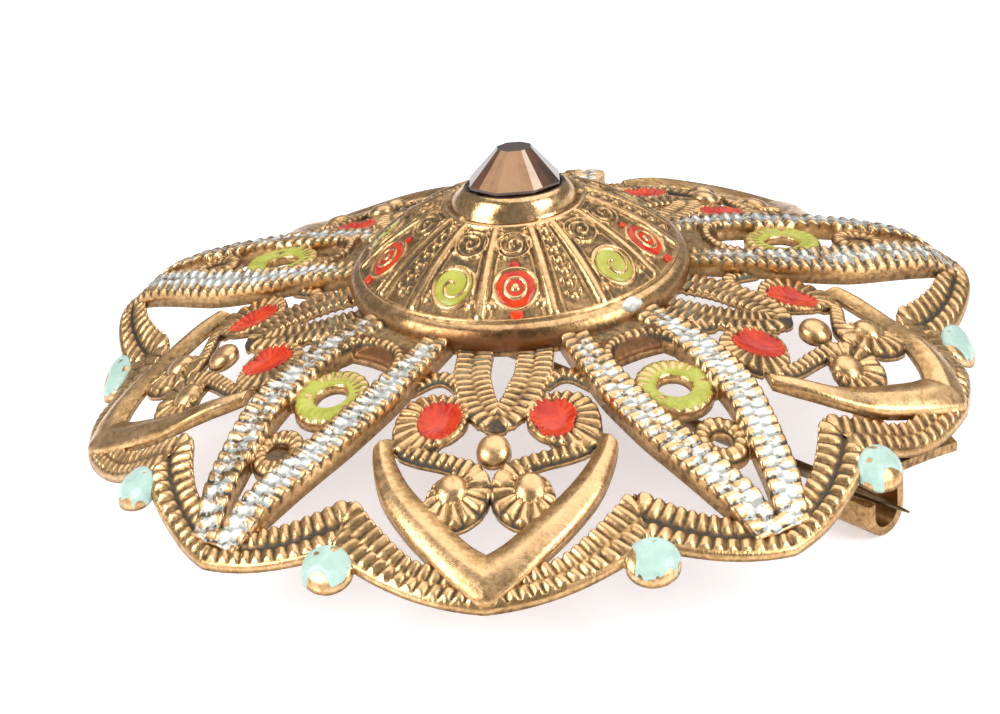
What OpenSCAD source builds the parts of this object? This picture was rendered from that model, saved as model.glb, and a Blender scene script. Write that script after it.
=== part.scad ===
// Domed filigree brooch: a pierced flower plate with five heart lobes and five kite lobes,
// a hollow centre boss, a faceted stone in a rivet-backed cup, and a hinged pin on the back.
// Z is up with the brooch lying on its back. The origin is on the flower's axis, level with
// the lowest point of the catch.

/* [Flower plate] */
// Distance across the flower, from a lobe tip to the opposite lobe tip
flower_d = 58.7; // [58:0.1:60]
// Height of the plate's hub above the surface that the brooch rests on
hub_z = 11.55; // [11.3:0.05:12.2]
// How far the rim lies below the hub
dome_drop = 6.75; // [6:0.05:7.2]
// Thickness of the stamped sheet with its relief
sheet = 0.9; // [0.8:0.05:1.1]
// How far the kite bands are raised above the rest of the plate
kite_rise = 0.85; // [0.6:0.05:1]
// Width of the rim band
rim_w = 2.9; // [2.6:0.1:3.2]

/* [Boss] */
// Radius of the centre boss
boss_r = 11.1; // [10.9:0.05:11.4]
// Height of the boss's smooth outer wall
boss_wall_h = 2; // [1.6:0.1:2.3]
// Height of the boss from its foot to the flat under the stone cup
boss_h = 5.5; // [5.2:0.1:5.8]
// Thickness of the boss's sheet
boss_sheet = 0.6; // [0.5:0.05:0.7]

/* [Stone] */
// Radius of the stone at its girdle
stone_r = 3.1; // [2.9:0.05:3.3]
// Radius of the stone's flat table
table_r = 1.15; // [0.9:0.05:1.4]
// Height of the stone above its girdle
crown_h = 2.05; // [1.6:0.05:2.3]
// Depth of the stone below its girdle
pavilion_h = 2.2; // [1.8:0.1:2.4]

/* [Pin] */
// Radius of the pin stem
stem_r = 0.45; // [0.4:0.01:0.5]
// Distance from the hinge axis to the tip of the pin stem
stem_len = 55.3; // [54:0.1:56]
// Height of the closed pin stem above the surface that the brooch rests on
stem_z = 2.4; // [2.2:0.05:2.6]
// Direction of the pin stem, counter-clockwise from +X
stem_turn = -41.8; // [-46:0.1:-38]
// How far the pin stem passes from the flower's axis
stem_offset = 4.2; // [3.9:0.1:4.5]
// Radius of the hinge rivet
rivet_r = 0.5; // [0.45:0.01:0.55]

/* [Enamel] */
// Radius of the red dots in the heart scrolls
heart_dot_r = 1.35; // [1.2:0.05:1.45]
// Radius of the pale drops on the rim
drop_r = 1.35; // [1.2:0.05:1.4]
// Radius of the enamelled scrolls on the boss
boss_dot_r = 1.3; // [1.1:0.05:1.4]

/* [Hidden] */
$fn = 48;
lobes = 5;
lobe_step = 360 / lobes;
k = flower_d / 58.7;
rim_r = flower_d / 2;

// The plate's top surface, as radius and height above the hub's top
dome = [[0, 0], [12 * k, 0], [17 * k, -dome_drop * 0.15], [21 * k, -dome_drop * 0.325],
    [25 * k, -dome_drop * 0.585], [31 * k, -dome_drop * 1.15]];

// Spines of the plate's bands on the lobe's right half: x across the lobe, y outwards
heart_arm = k * [[6.75, 18.5], [6.6, 21.5], [3.4, 25.9], [0, 27.75]];
heart_stem = k * [[5.4, 18.9], [4, 19.9], [1.9, 20.1], [0, 21.4]];
heart_root = k * [[2.1, 9.8], [2.3, 13], [1.5, 15.4], [0, 17.4]];
root_link = k * [[2.4, 13.9], [3.3, 12.6], [4.5, 12.6], [5.5, 13.4]];
kite_band = k * [[2.7, 9.8], [3.9, 16], [4.2, 21.5], [0.7, 27.4]];
kite_arch = k * [[3.2, 14.6], [2.4, 13.2], [1.2, 12.9], [0, 12.9]];
notch_turn = 19.9;
notch_r = 25.35 * k;
rim_tip = [0, rim_r - rim_w / 2];
heart_rim = [notch_r * [sin(notch_turn), cos(notch_turn)], k * [4.9, 27.5], rim_tip];
kite_turn = lobe_step / 2 - notch_turn;
kite_rim = [notch_r * [sin(kite_turn), cos(kite_turn)], k * [3.9, 27.4], rim_tip];

// Centres and radii of the round parts of the plate
heart_dot = k * [3.6, 17.35];
heart_dot_wall_r = 2.1 * k;
scroll = k * [1.9, 22.8];
scroll_r = 1.95 * k;
scroll_ball_r = 0.95 * k;
heart_ball = k * [0, 19.6];
heart_ball_r = 1.1 * k;
heart_ball_seat_r = 1.35 * k;
ring = k * [0, 17.6];
ring_r = 2.6 * k;
ring_hole_r = 0.85 * k;
ring_groove = [1.1 * k, 2.05 * k];
small_ring = k * [0, 22.1];
small_ring_r = 2.1 * k;
small_ring_hole_r = 0.65 * k;
drop_at = 27.95 * k;
drop_turn = 19.6;
lug_r = drop_r + 0.12;
hub_r = boss_r - 0.2;
enamel_depth = 0.4;

// Boss profile: foot, wall, panels and the flat under the cup
boss_z = hub_z;
panel_r = boss_r - 0.85;
seat_r = 4.3;
shoulder_z = boss_z + boss_wall_h;
seat_z = boss_z + boss_h;
boss_outer = [[boss_r, 0], [boss_r + 0.05, boss_wall_h * 0.45], [panel_r, boss_wall_h],
    [(panel_r + seat_r) / 2, (boss_wall_h + boss_h) / 2 + 0.3], [seat_r, boss_h]];
boss_inner = [[seat_r - 0.3, boss_h - boss_sheet],
    [(panel_r + seat_r) / 2 - 0.2, (boss_wall_h + boss_h) / 2 - boss_sheet * 0.85],
    [panel_r - 0.5, boss_wall_h - boss_sheet * 0.8], [boss_r - boss_sheet, 0]];
cup_bore_r = 2.7;
panel_turns = [-35.6, -8.8, 18];
rib_w = 2.4;
rib_h = 0.22;
green_turn = -22;
red_turn = 4.6;
boss_dot_at = 8.3;
panel_slope = atan((boss_h - boss_wall_h) / (panel_r - seat_r)) + 4;
panel_z = shoulder_z + (panel_r - boss_dot_at) * (boss_h - boss_wall_h) / (panel_r - seat_r) + 0.18;

// Stone, foil and cup
girdle_z = seat_z + 1.15;
girdle_h = 0.2;
culet_r = 0.15;
facets = 8;
foil_t = 0.12;
cup_r = seat_r - 0.15;
cup_body_r = cup_bore_r - 0.05;
cup_floor_z = girdle_z - pavilion_h - foil_t - 0.35;
shank_r = 1.4;
shank_bore_r = 0.8;
washer_r = 4;
washer_h = 0.5;
washer_z = hub_z - sheet - washer_h;
flare_r = 2.1;
flare_h = 0.3;

// Pin: positions along the stem are measured from the foot of the flower's axis on it
hinge_at = -26.9;
catch_at = 24.9;
catch_w = 3;
catch_wall = 0.55;
catch_bend_r = 1.05;
catch_z = catch_wall + catch_bend_r;
catch_lip_z = stem_z + 0.1;
catch_gap_y = 0.35;
catch_foot = [3.4, 1.1];
catch_strip = [1.5, 6.6];
catch_strip_at = [25.7, -0.4];
solder_pad_h = 0.6;
tip_len = 5.5;
tip_r = 0.07;
eye_r = 1.15;
eye_w = 1.1;
rivet_play = 0.05;
ear_t = 0.6;
ear_gap = 0.12;
ear_r = 1.15;
hinge_pad = [3, 4.8];
rivet_head_r = 0.85;
rivet_head_h = 0.3;

// ---- Curves -----------------------------------------------------------------------------

function bezier(c, t) = len(c) == 3
    ? (1 - t) * (1 - t) * c[0] + 2 * t * (1 - t) * c[1] + t * t * c[2]
    : (1 - t) * bezier([c[0], c[1], c[2]], t) + t * bezier([c[1], c[2], c[3]], t);

function curve(c, n) = [for (i = [0:n]) bezier(c, i / n)];

function heading(p, i) =
    let (d = p[min(i + 1, len(p) - 1)] - p[max(i - 1, 0)]) d / norm(d);

function edge(p, w0, w1) = [for (i = [0:len(p) - 1])
    let (d = heading(p, i), w = w0 + (w1 - w0) * i / (len(p) - 1)) p[i] + w * [d[1], -d[0]]];

function reversed(p) = [for (i = [len(p) - 1:-1:0]) p[i]];

// Height of the plate's top above the hub's top, at radius r
function dome_z(r, i = 1) = r <= dome[i][0] || i == len(dome) - 1
    ? dome[i - 1][1] + (r - dome[i - 1][0]) * dome_slope(i)
    : dome_z(r, i + 1);

function dome_slope(i) = (dome[i][1] - dome[i - 1][1]) / (dome[i][0] - dome[i - 1][0]);

function tilt_at(r) = atan((dome_z(r - 0.5) - dome_z(r + 0.5)));

// ---- Plan helpers -----------------------------------------------------------------------

module band(c, w0, w1, n = 8)
{
    p = curve(c, n);
    polygon(concat(edge(p, w0 / 2, w1 / 2), reversed(edge(p, -w0 / 2, -w1 / 2))));
}

module both_sides()
{
    children();
    mirror([1, 0, 0]) children();
}

// Places a lobe, drawn with y outwards, at its turn around the flower from -Y
module lobe(turn) rotate([0, 0, 180 + turn]) children();

module heart_lobes() for (i = [0:lobes - 1]) lobe(i * lobe_step) children();

module kite_lobes() for (i = [0:lobes - 1]) lobe((i + 0.5) * lobe_step) children();

// Stands children on the plate's top at p, tilted with the dome
module on_dome(p, rise = 0)
{
    r = norm(p);
    translate([p[0], p[1], hub_z + dome_z(r) + rise])
        rotate([0, 0, -atan2(p[0], p[1])]) rotate([-tilt_at(r), 0, 0]) children();
}

// The domed sheet, from low to high relative to the plate's top
module dome_shell(low, high)
{
    top = [for (p = dome) [p[0], p[1] + high]];
    bottom = [for (p = dome) [p[0], p[1] + low]];
    translate([0, 0, hub_z]) rotate_extrude($fn = 96) polygon(concat(top, reversed(bottom)));
}

module pierced(low, high)
{
    intersection()
    {
        dome_shell(low, high);
        linear_extrude(height = 2 * hub_z) offset(delta = 0.001) children();
    }
}

// ---- Flower plate -----------------------------------------------------------------------

module heart_plan()
{
    both_sides()
    {
        band(heart_rim, rim_w, rim_w);
        band(heart_arm, 1.2 * k, 2.1 * k, 10);
        band(heart_stem, 1.1 * k, 1.2 * k, 5);
        band(heart_root, 2.3 * k, 2 * k, 6);
        band(root_link, 0.9 * k, 0.9 * k, 5);
        translate(heart_dot) circle(heart_dot_wall_r, $fn = 28);
        translate(scroll) circle(scroll_r, $fn = 28);
        rotate(-drop_turn) translate([0, drop_at]) circle(lug_r, $fn = 24);
    }
    translate(heart_ball) circle(heart_ball_seat_r, $fn = 20);
    rim_joint();
}

// Fills the rim where a lobe's two halves meet at its tip
module rim_joint() translate([-0.3, rim_r - rim_w]) square([0.6, rim_w]);

module kite_rim_plan()
{
    both_sides()
    {
        band(kite_rim, rim_w, rim_w);
        translate(kite_rim[0]) circle(rim_w / 2, $fn = 20);
    }
    rim_joint();
}

module kite_plan()
{
    difference()
    {
        union()
        {
            both_sides()
            {
                band(kite_band, 2.1 * k, 2 * k, 10);
                band(kite_arch, 0.7 * k, 0.7 * k, 4);
            }
            translate(ring) circle(ring_r, $fn = 28);
            translate(small_ring) circle(small_ring_r, $fn = 24);
        }
        translate(ring) circle(ring_hole_r, $fn = 20);
        translate(small_ring) circle(small_ring_hole_r, $fn = 16);
        circle(hub_r - 1);
    }
}

module filigree_plate() color("darkgoldenrod") difference()
{
    union()
    {
        pierced(-sheet, 0)
        {
            difference()
            {
                circle(hub_r);
                circle(shank_r + 0.05);
            }
            heart_lobes() heart_plan();
            kite_lobes() kite_rim_plan();
        }
        pierced(-sheet * 0.8, kite_rise) difference()
        {
            kite_lobes() kite_plan();
            circle(boss_r + 0.15);
        }
        heart_lobes()
        {
            on_dome(heart_ball, -0.5) sphere(heart_ball_r, $fn = 24);
            both_sides() on_dome(scroll, -0.4) sphere(scroll_ball_r, $fn = 24);
        }
    }
    heart_lobes() both_sides() on_dome(heart_dot, -enamel_depth)
        cylinder(h = 2, r = heart_dot_r, $fn = 32);
    kite_lobes() on_dome(ring, kite_rise - enamel_depth) difference()
    {
        cylinder(h = 2, r = ring_groove[1], $fn = 32);
        translate([0, 0, -1]) cylinder(h = 4, r = ring_groove[0], $fn = 32);
    }
    heart_lobes() both_sides() rotate([0, 0, -drop_turn]) on_dome([0, drop_at])
        cylinder(h = 2, r = lug_r + 1, $fn = 32);
}

// ---- Boss -------------------------------------------------------------------------------

module boss_pocket(turn) rotate([0, 0, turn]) translate([0, -boss_dot_at, panel_z])
    rotate([panel_slope, 0, 0]) children();

module boss_ribs(turn) rotate([0, 0, turn - 90 - rib_w / 2]) rotate_extrude(angle = rib_w, $fn = 96)
    polygon([[panel_r - 0.05, boss_wall_h - 0.3], [panel_r - 0.05, boss_wall_h + rib_h],
        [(panel_r + seat_r) / 2, (boss_wall_h + boss_h) / 2 + 0.3 + rib_h],
        [seat_r + 0.1, boss_h + rib_h], [seat_r + 0.1, boss_h - 0.3]]);

module boss_cap() color("goldenrod") difference()
{
    translate([0, 0, boss_z])
    {
        rotate_extrude($fn = 96)
            polygon(concat(boss_outer, [[cup_bore_r, boss_h], [cup_bore_r, boss_h - boss_sheet]],
                boss_inner));
        for (i = [0:lobes - 1], turn = panel_turns) boss_ribs(turn + i * lobe_step);
    }
    for (i = [0:lobes - 1], turn = [green_turn, red_turn])
        boss_pocket(turn + i * lobe_step) cylinder(h = 2, r = boss_dot_r, $fn = 32);
}

module boss_enamel(turn) for (i = [0:lobes - 1]) boss_pocket(turn + i * lobe_step)
{
    cylinder(h = 0.22, r = boss_dot_r, $fn = 32);
    translate([0, 0, 0.22]) cylinder(h = 0.12, r1 = boss_dot_r, r2 = boss_dot_r * 0.7, $fn = 32);
}

module boss_red_enamel() color("red") boss_enamel(red_turn);

module boss_green_enamel() color("yellowgreen") boss_enamel(green_turn);

// ---- Stone and its rivet-backed cup -----------------------------------------------------

module pavilion(drop = 0) translate([0, 0, girdle_z - drop]) mirror([0, 0, 1])
    cylinder(h = pavilion_h, r1 = stone_r * 0.93, r2 = culet_r, $fn = facets);

module stone() color("sienna")
{
    pavilion();
    translate([0, 0, girdle_z]) cylinder(h = girdle_h, r = stone_r, $fn = 2 * facets);
    translate([0, 0, girdle_z + girdle_h])
        cylinder(h = crown_h, r1 = stone_r, r2 = table_r, $fn = facets);
}

module foil_backing() color("silver") difference()
{
    pavilion(foil_t);
    pavilion();
    translate([0, 0, girdle_z - foil_t]) cylinder(h = 1, r = stone_r);
}

module stone_cup() color("gold") rotate_extrude($fn = 96) polygon([
    [shank_bore_r, washer_z - flare_h], [flare_r, washer_z - flare_h], [flare_r, washer_z],
    [shank_r, washer_z], [shank_r, cup_floor_z - 0.6], [cup_body_r, cup_floor_z],
    [cup_body_r, seat_z], [cup_r, seat_z], [cup_r, seat_z + 0.25], [cup_r - 0.35, seat_z + 0.7],
    [stone_r + 0.05, girdle_z - 0.05], [stone_r * 0.93 + 0.05, girdle_z - foil_t],
    [shank_bore_r, girdle_z - pavilion_h + 0.3], [shank_bore_r, cup_floor_z - 0.3]]);

module back_washer() color("peru") translate([0, 0, washer_z]) difference()
{
    cylinder(h = washer_h, r = washer_r);
    translate([0, 0, -1]) cylinder(h = washer_h + 2, r = shank_r + 0.05);
}

// ---- Pin, hinge and catch ---------------------------------------------------------------

// Draws with x along the closed pin stem, y across it and z up from the resting surface
module along_pin() rotate([0, 0, stem_turn]) translate([0, stem_offset, 0]) children();

module across(y, h, r) translate([0, y, 0]) rotate([-90, 0, 0]) cylinder(h = h, r = r);

module pin_stem() color("dimgray") along_pin() translate([hinge_at, 0, stem_z]) difference()
{
    union()
    {
        across(-eye_w / 2, eye_w, eye_r);
        rotate([0, 90, 0]) cylinder(h = stem_len - tip_len, r = stem_r);
        translate([stem_len - tip_len, 0, 0]) rotate([0, 90, 0])
            cylinder(h = tip_len, r1 = stem_r, r2 = tip_r);
    }
    across(-eye_w, 2 * eye_w, rivet_r + rivet_play);
}

// The space under the plate, down to depth
module under_plate(depth) dome_shell(-sheet - depth, -sheet);

module hinge_ear(y) translate([0, y, 0])
{
    across(0, ear_t, ear_r);
    translate([-ear_r, 0, 0]) cube([2 * ear_r, ear_t, hub_z]);
}

module hinge_bracket() color("peru")
{
    ear_y = eye_w / 2 + ear_gap;
    intersection()
    {
        under_plate(hub_z);
        along_pin() translate([hinge_at, 0, stem_z]) difference()
        {
            union()
            {
                hinge_ear(ear_y);
                hinge_ear(-ear_y - ear_t);
            }
            across(-4, 8, rivet_r);
        }
    }
    intersection()
    {
        under_plate(solder_pad_h);
        along_pin() translate([hinge_at - hinge_pad[0] / 2, -hinge_pad[1] / 2, 0])
            cube([hinge_pad[0], hinge_pad[1], hub_z]);
    }
}

module hinge_rivet() color("gold") along_pin() translate([hinge_at, 0, stem_z])
{
    reach = eye_w / 2 + ear_gap + ear_t;
    across(-reach, 2 * reach, rivet_r);
    across(reach, rivet_head_h, rivet_head_r);
    across(-reach - rivet_head_h, rivet_head_h, rivet_head_r);
}

// The catch seen along the stem: a hook with a low lip on one side and a tall leg on the other
module catch_profile() translate([0, catch_z])
{
    outer_r = catch_bend_r + catch_wall;
    difference()
    {
        circle(outer_r);
        circle(catch_bend_r);
        translate([-outer_r - 1, 0]) square([2 * outer_r + 2, outer_r + 1]);
    }
    translate([catch_bend_r, 0]) square([catch_wall, hub_z]);
    translate([-outer_r, 0]) square([catch_wall, catch_lip_z - catch_z]);
}

module catch() color("peru")
{
    intersection()
    {
        under_plate(hub_z);
        along_pin() translate([catch_at - catch_w / 2, catch_gap_y, 0]) rotate([90, 0, 90])
            linear_extrude(height = catch_w) catch_profile();
    }
    intersection()
    {
        under_plate(solder_pad_h);
        along_pin()
        {
            translate([catch_at - catch_foot[0] / 2, catch_gap_y + catch_bend_r - 0.2, 0])
                cube([catch_foot[0], catch_foot[1], hub_z]);
            translate([catch_strip_at[0], catch_strip_at[1], 0])
                cube([catch_strip[0], catch_strip[1], hub_z]);
        }
    }
}

// ---- Enamel -----------------------------------------------------------------------------

module heart_enamel() color("orangered") heart_lobes() both_sides()
    on_dome(heart_dot, -enamel_depth) cylinder(h = enamel_depth - 0.1, r = heart_dot_r, $fn = 32);

module ring_enamel() color("yellowgreen") kite_lobes()
    on_dome(ring, kite_rise - enamel_depth) difference()
{
    cylinder(h = enamel_depth + 0.05, r = ring_groove[1], $fn = 32);
    translate([0, 0, -1]) cylinder(h = 3, r = ring_groove[0], $fn = 32);
}

module drop_enamel() color("paleturquoise") heart_lobes() both_sides() rotate([0, 0, -drop_turn])
    on_dome([0, drop_at]) intersection()
{
    translate([0, 0, -0.45]) sphere(sqrt(drop_r * drop_r + 0.45 * 0.45));
    cylinder(h = 3, r = drop_r + 1);
}

// ---- Nodes ------------------------------------------------------------------------------

filigree_plate();
boss_cap();
stone_cup();
stone();
foil_backing();
back_washer();
hinge_bracket();
hinge_rivet();
pin_stem();
catch();
heart_enamel();
ring_enamel();
drop_enamel();
boss_red_enamel();
boss_green_enamel();
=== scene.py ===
# The looks of a domed filigree brooch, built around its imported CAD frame.
# Sizes are in millimetres until a mesh is made. A lobe's own frame has x across it and y outwards.
import math

import bpy
import numpy as np
from mathutils import Matrix, Vector


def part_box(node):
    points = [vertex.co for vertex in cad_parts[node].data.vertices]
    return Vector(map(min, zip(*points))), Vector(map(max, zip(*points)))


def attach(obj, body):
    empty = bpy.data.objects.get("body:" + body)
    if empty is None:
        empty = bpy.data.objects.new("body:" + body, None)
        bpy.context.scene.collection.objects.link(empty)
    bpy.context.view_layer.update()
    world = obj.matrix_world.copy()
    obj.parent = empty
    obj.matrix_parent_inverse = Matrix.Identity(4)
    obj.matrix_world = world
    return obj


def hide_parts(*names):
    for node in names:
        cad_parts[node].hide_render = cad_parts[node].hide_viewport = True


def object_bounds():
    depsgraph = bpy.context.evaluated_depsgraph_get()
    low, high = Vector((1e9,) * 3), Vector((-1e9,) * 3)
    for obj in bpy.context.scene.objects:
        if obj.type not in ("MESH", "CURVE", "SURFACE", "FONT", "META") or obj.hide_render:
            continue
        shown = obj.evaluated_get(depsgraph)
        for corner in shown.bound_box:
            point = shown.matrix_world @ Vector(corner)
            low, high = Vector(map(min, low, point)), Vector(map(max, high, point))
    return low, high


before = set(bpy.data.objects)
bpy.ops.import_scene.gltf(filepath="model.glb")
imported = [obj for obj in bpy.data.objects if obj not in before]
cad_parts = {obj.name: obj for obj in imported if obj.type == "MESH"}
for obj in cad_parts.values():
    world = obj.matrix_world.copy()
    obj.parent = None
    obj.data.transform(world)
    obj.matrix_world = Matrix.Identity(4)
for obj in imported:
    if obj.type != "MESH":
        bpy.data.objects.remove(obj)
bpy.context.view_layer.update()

# ---- Sizes from the frame ----

MM = 0.001
LOBES = 5
LOBE_STEP = 360 / LOBES
KITE_TURN = LOBE_STEP / 2
PATTERN_D = 58.7  # the width of flower that the pattern's numbers are for


def box_mm(node):
    low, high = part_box(node)
    return np.array(low) / MM, np.array(high) / MM


plate_low, plate_high = box_mm("filigree_plate")
boss_low, boss_high = box_mm("boss_cap")
stone_low, stone_high = box_mm("stone")
washer_low, washer_high = box_mm("back_washer")
FLOWER_D = plate_high[1] - plate_low[1]
K = FLOWER_D / PATTERN_D
HUB_Z = boss_low[2]
BOSS_R = 11.1
SHEET = 0.5
FILM = 0.24
PITCH = 0.085

# ---- Curves and noise ----


def smooth(low, high, value):
    t = np.clip((value - low) / (high - low), 0, 1)
    return t * t * (3 - 2 * t)


def through(points, steps=8):
    """A smooth curve through the points, each of any number of values."""
    p = np.array(points, float)
    ends = np.vstack([2 * p[0] - p[1], p, 2 * p[-1] - p[-2]])
    out = []
    for i in range(len(p) - 1):
        a, b, c, d = ends[i:i + 4]
        for t in np.arange(steps) / steps:
            out.append(0.5 * (2 * b + (c - a) * t + (2 * a - 5 * b + 4 * c - d) * t ** 2
                              + (3 * b - a - 3 * c + d) * t ** 3))
    out.append(p[-1])
    return np.array(out)


def bezier(a, b, c, steps=24):
    t = np.linspace(0, 1, steps + 1)[:, None]
    return (1 - t) ** 2 * np.array(a) + 2 * t * (1 - t) * np.array(b) + t ** 2 * np.array(c)


def along(curve, x, y):
    """For each point: how far along the curve its foot lies, how far it is to the curve's right,
    its distance from the curve, and the curve's half width at the foot."""
    shape = x.shape
    px, py = x.ravel(), y.ravel()
    best = np.full(px.shape, np.inf)
    s_at, side_at, half_at = np.zeros_like(px), np.zeros_like(px), np.zeros_like(px)
    start = 0.0
    for (ax, ay, aw), (bx, by, bw) in zip(curve[:-1], curve[1:]):
        dx, dy = bx - ax, by - ay
        length = math.hypot(dx, dy)
        if length < 1e-9:
            continue
        dx, dy = dx / length, dy / length
        foot = np.clip((px - ax) * dx + (py - ay) * dy, 0, length)
        ex, ey = px - ax - foot * dx, py - ay - foot * dy
        gap = ex * ex + ey * ey
        near = gap < best
        best[near] = gap[near]
        s_at[near] = start + foot[near]
        side_at[near] = (ex * dy - ey * dx)[near]
        half_at[near] = aw + (bw - aw) * foot[near] / length
        start += length
    return [v.reshape(shape) for v in (s_at, side_at, np.sqrt(best), half_at)]


def mottle(x, y, size, seed):
    """A smooth uneven field from about -1 to 1, with features of the given size."""
    rng = np.random.default_rng(seed)
    total = 0.0
    for _ in range(7):
        angle, phase = rng.uniform(0, 2 * math.pi, 2)
        wave = 2 * math.pi / (size * rng.uniform(1.2, 2.6))
        total = total + np.sin(wave * (x * math.cos(angle) + y * math.sin(angle)) + phase)
    return total / 3.2


def arch(t, power=2):
    """A rounded top: 1 where t is 0, and 0 from where it is 1 or -1."""
    return np.sqrt(np.maximum(1 - np.abs(t) ** power, 0))


def ribs(s, pitch):
    """Rounded ribs: 1 on a crest and 0 in a groove."""
    return np.abs(np.sin(math.pi * s / pitch)) ** 0.75


def meshed_ribs(place, pitch, u, split=0.5, overlap=0.09, sharp=1.0):
    """Two rows of ribs across a band, with their inner ends meshed like a zip. u runs from 0 to 1
    across the band, and the rows meet at the split."""
    lift = 0.0
    for row, start, end in ((0, 0.0, split + overlap), (1, 1.0, split - overlap)):
        w = np.clip((u - start) / (end - start), 0, 1)
        crown = arch(1.3 * w - 0.3, 2.6)
        lift = np.maximum(lift, crown * ribs(place + row * pitch / 2, pitch) ** sharp)
    return lift


def roundover(edge, radius):
    """How far a rounded edge falls, where edge is the distance to the outline, negative inside."""
    return radius * (1 - arch(np.clip(1 + edge / radius, 0, 1)))


def dome_z(r):
    """Height of the plate's smooth top above the hub's top."""
    flat, fall = 0.35, 2.74e-4
    return K * np.minimum(0, flat - fall * (r / K) ** 3)


# ---- Pressed sheet ----

# What each point tells its material: brightness, then how much of each colour. The stain mark is real
# stain, and on the boss wall also painted shade where the wall faces the camera.
MARKS = ("relief", "silver", "stain", "green")
BACK_SHADE = 0.45  # the relief mark of the plate's unseen side
ROUND = 0.16  # how far a band's edges are rounded over


class Relief:
    """The raised parts of one stamped pattern, gathered at a set of points."""

    def __init__(self, x, y):
        self.mirror = np.abs(x)
        self.x, self.y = x, y
        self.edge = np.full(x.shape, 50.0)
        self.level = np.full(x.shape, -1e3)
        self.rise = np.zeros(x.shape)
        self.body = np.zeros(x.shape)
        self.marks = {m: np.zeros(x.shape) for m in MARKS}

    def add(self, edge, rise, body=0.0, **marks):
        """A part with this outline distance, top height and height of its hollow back."""
        level = rise - 40 * np.maximum(edge - 0.04, 0)
        top = level > self.level
        self.level = np.where(top, level, self.level)
        self.rise = np.where(top, rise, self.rise)
        self.body = np.where(top, body, self.body)
        for name in MARKS:
            self.marks[name] = np.where(top, marks.get(name, 0.0), self.marks[name])
        self.edge = np.minimum(self.edge, edge)

    def around(self, centre):
        """Distance and angle around a centre on the mirrored half."""
        dx, dy = self.mirror - centre[0], self.y - centre[1]
        return np.hypot(dx, dy), np.degrees(np.arctan2(dy, dx))

    def rope(self, curve, pitch, rise, depth, rows=2, lean=0.0, body=0.0, **marks):
        """A band with rows of ribs across it. lean mixes the lobe's own y into the ribs' places.
        Gives the distance to the band's outline."""
        s, side, far, half = along(curve, self.mirror, self.y)
        edge = far - half
        u = (np.clip(side / half, -1, 1) + 1) / 2
        place = (1 - lean) * s + lean * self.y + 0.06 * mottle(self.x, self.y, 2.0, 4)
        if rows == 2:
            lift = meshed_ribs(place, pitch, u)
        else:
            lift = ribs(place, pitch) * arch(2 * u - 1, 4)
        lift = lift * (1 + 0.12 * mottle(self.x, self.y, 1.1, 5))
        height = rise - depth + depth * lift - roundover(edge, ROUND)
        self.add(edge, height, body, relief=np.clip(1.15 * lift ** 1.4, 0, 1), **marks)
        return edge

    def bar(self, middle, half_height, half_width, keep_off, rise, body, green):
        """A flat bar across the lobe, cut away where keep_off is positive."""
        edge = np.maximum(np.abs(self.y - middle) - half_height, self.mirror - half_width)
        self.add(np.maximum(edge, keep_off), rise, body, relief=0.3, green=green)

    def ball(self, centre, radius, height):
        """A ball pressed up from a foot a little below the sheet's top."""
        foot = 0.25
        r, _ = self.around(centre)
        u = r / radius
        self.add(r - radius, (height + foot) * arch(u, 2.4) - foot, relief=0.55 + 0.45 * arch(u))

    def scroll(self, centre, inner, outer, count, rise, depth, spin=0.0):
        """Radial ribs from the inner radius to an outer radius given as (angle, radius) pairs.
        Gives the angle, the distance to the outline, the height and the ribs' lift."""
        r, angle = self.around(centre)
        angles, reaches = np.transpose(outer)
        reach = K * np.interp(angle, angles, reaches, period=360)
        edge = r - reach
        u = np.clip((r - inner) / np.maximum(reach - inner, 0.05), 0, 1)
        room = smooth(0.15, 0.45, reach - inner)
        wave = ribs(angle + spin, 360 / count)
        lift = wave * arch(2 * u - 1, 4) ** 0.6 * room + (1 - room) * 0.6
        height = rise - depth + depth * lift - roundover(edge, 0.22)
        return angle, edge, height, np.clip(lift, 0, 1)


def walk_cells(inside):
    """The polygons that cover the inside of a grid, as lists of keys: ("n", j, i) is a node,
    and ("h", j, i) or ("v", j, i) a crossing on the grid line right of or above a node."""
    c = [inside[:-1, :-1], inside[:-1, 1:], inside[1:, 1:], inside[1:, :-1]]
    code = c[0] * 1 + c[1] * 2 + c[2] * 4 + c[3] * 8
    corner = [(0, 0), (0, 1), (1, 1), (1, 0)]
    line = [("h", 0, 0), ("v", 0, 1), ("h", 1, 0), ("v", 0, 0)]
    for case in range(1, 16):
        is_in = [bool(case >> n & 1) for n in range(4)]
        keys, cuts = [], []
        for n in range(4):
            if is_in[n]:
                keys.append(("n",) + corner[n])
            if is_in[n] != is_in[(n + 1) % 4]:
                keys.append(line[n])
                cuts.append((len(keys) - 1, is_in[n]))
        walls = [(place, cuts[(n + 1) % len(cuts)][0]) for n, (place, leaving) in enumerate(cuts)
                 if leaving]
        yield np.argwhere(code == case), keys, walls


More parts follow.
